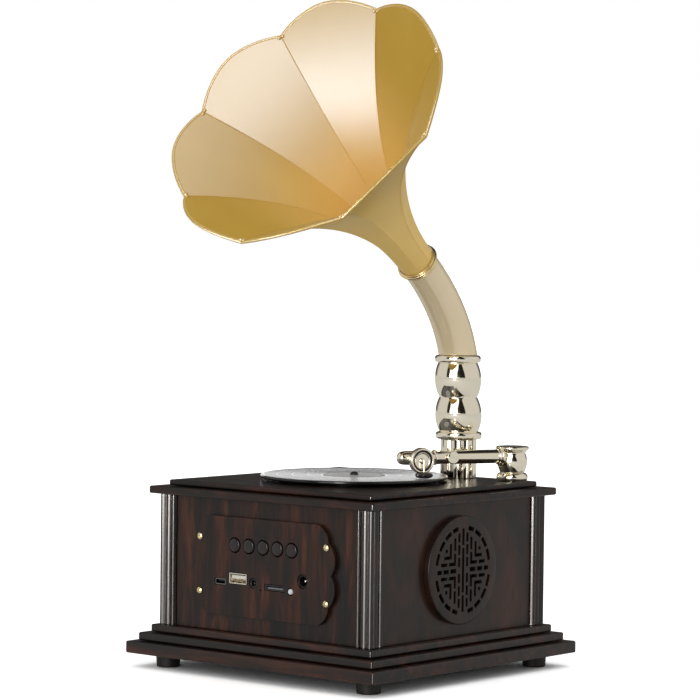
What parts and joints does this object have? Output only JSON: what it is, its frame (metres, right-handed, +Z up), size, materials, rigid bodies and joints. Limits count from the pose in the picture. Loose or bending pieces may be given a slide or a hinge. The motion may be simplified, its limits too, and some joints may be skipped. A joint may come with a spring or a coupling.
{
  "type": "horn loudspeaker",
  "caption": "Table-top loudspeaker styled as a gramophone: wooden case with push buttons and side drivers, turning record, hinged tonearm and a petalled horn that swivels on a column.",
  "frame": {"origin": "middle of the whole object's bounding box, level with the undersides of the feet", "axes": "+Z up; -Y out of the control plate; +X out of the right side's fret grille"},
  "size_m": [0.2152, 0.2334, 0.3817],
  "materials": {
    "wood": "dark rosewood-like grain under semi-gloss lacquer",
    "foot": "dark matt",
    "brass": "polished",
    "socket_metal": "plated, bright",
    "black_plastic": "matt black",
    "black_gloss": "glossy black",
    "light": "white translucent dome",
    "board": "green circuit board",
    "pale_gold": "mirror-polished pale gold plating",
    "champagne": "champagne, satin gloss",
    "satin_gold": "satin gold, cream in the light"
  },
  "bodies": {
    "case": {"plinth_lower": "wood", "plinth_middle": "wood", "plinth_upper": "wood", "foot_1": "foot", "foot_2": "foot", "foot_3": "foot", "foot_4": "foot", "corner_post_1": "wood", "corner_post_2": "wood", "corner_post_3": "wood", "corner_post_4": "wood", "front_panel": "wood", "right_panel": "wood", "left_panel": "wood", "rear_panel": "wood", "lid_lower": "wood", "lid_upper": "wood", "control_plate": "wood", "plate_screw_1": "brass", "plate_screw_2": "brass", "plate_screw_3": "brass", "plate_screw_4": "brass", "usb_socket": "socket_metal", "micro_usb_socket": "socket_metal", "aux_socket": "black_plastic", "card_socket": "black_plastic", "power_socket": "black_plastic", "status_light": "light", "circuit_board": "board", "fret_grille_right": "wood", "fret_grille_left": "wood", "driver_right": "black_plastic", "driver_left": "black_plastic", "tonearm_base": "pale_gold", "column": "pale_gold"},
    "button_1": {"button_1": "black_gloss"},
    "button_2": {"button_2": "black_gloss"},
    "button_3": {"button_3": "black_gloss"},
    "button_4": {"button_4": "black_gloss"},
    "button_5": {"button_5": "black_gloss"},
    "record": {"platter": "black_plastic", "record_disc": "black_gloss"},
    "tonearm": {"tonearm_pivot": "pale_gold", "tonearm_tube": "pale_gold"},
    "head": {"tonearm_head": "pale_gold", "tonearm_pin": "pale_gold", "soundbox": "pale_gold", "needle": "black_gloss"},
    "horn": {"ferrule": "pale_gold", "horn_driver": "black_plastic", "elbow": "champagne", "collar": "pale_gold", "petal_1": "satin_gold", "petal_2": "satin_gold", "petal_3": "satin_gold", "petal_4": "satin_gold", "petal_5": "satin_gold", "petal_6": "satin_gold", "petal_7": "satin_gold", "petal_8": "satin_gold"}
  },
  "joints": [
    {"name": "horn_swivel", "type": "hinge", "parent": "case", "child": "horn", "pos_m": [0.01399, 0.0851, 0.135], "axis": [0, 0, 1], "range_deg": [-120, 120]},
    {"name": "record_spin", "type": "hinge", "parent": "case", "child": "record", "pos_m": [-0.01451, 0.0236, 0.11], "axis": [0, 0, 1], "continuous": true},
    {"name": "tonearm_swing", "type": "hinge", "parent": "case", "child": "tonearm", "pos_m": [0.04999, 0.0901, 0.12], "axis": [0, 0, 1], "range_deg": [-22, 30]},
    {"name": "head_lift", "type": "hinge", "parent": "tonearm", "child": "head", "pos_m": [0.03182, 0.05413, 0.123], "axis": [-0.8926, 0.4509, 0], "range_deg": [0, 45]},
    {"name": "button_1_press", "type": "slide", "parent": "case", "child": "button_1", "axis": [0, 1, 0], "range_m": [0, 0.0012], "stiffness_N_per_m": 400, "springref_m": -0.0004},
    {"name": "button_2_press", "type": "slide", "parent": "case", "child": "button_2", "axis": [0, 1, 0], "range_m": [0, 0.0012], "stiffness_N_per_m": 400, "springref_m": -0.0004},
    {"name": "button_3_press", "type": "slide", "parent": "case", "child": "button_3", "axis": [0, 1, 0], "range_m": [0, 0.0012], "stiffness_N_per_m": 400, "springref_m": -0.0004},
    {"name": "button_4_press", "type": "slide", "parent": "case", "child": "button_4", "axis": [0, 1, 0], "range_m": [0, 0.0012], "stiffness_N_per_m": 400, "springref_m": -0.0004},
    {"name": "button_5_press", "type": "slide", "parent": "case", "child": "button_5", "axis": [0, 1, 0], "range_m": [0, 0.0012], "stiffness_N_per_m": 400, "springref_m": -0.0004}
  ]
}
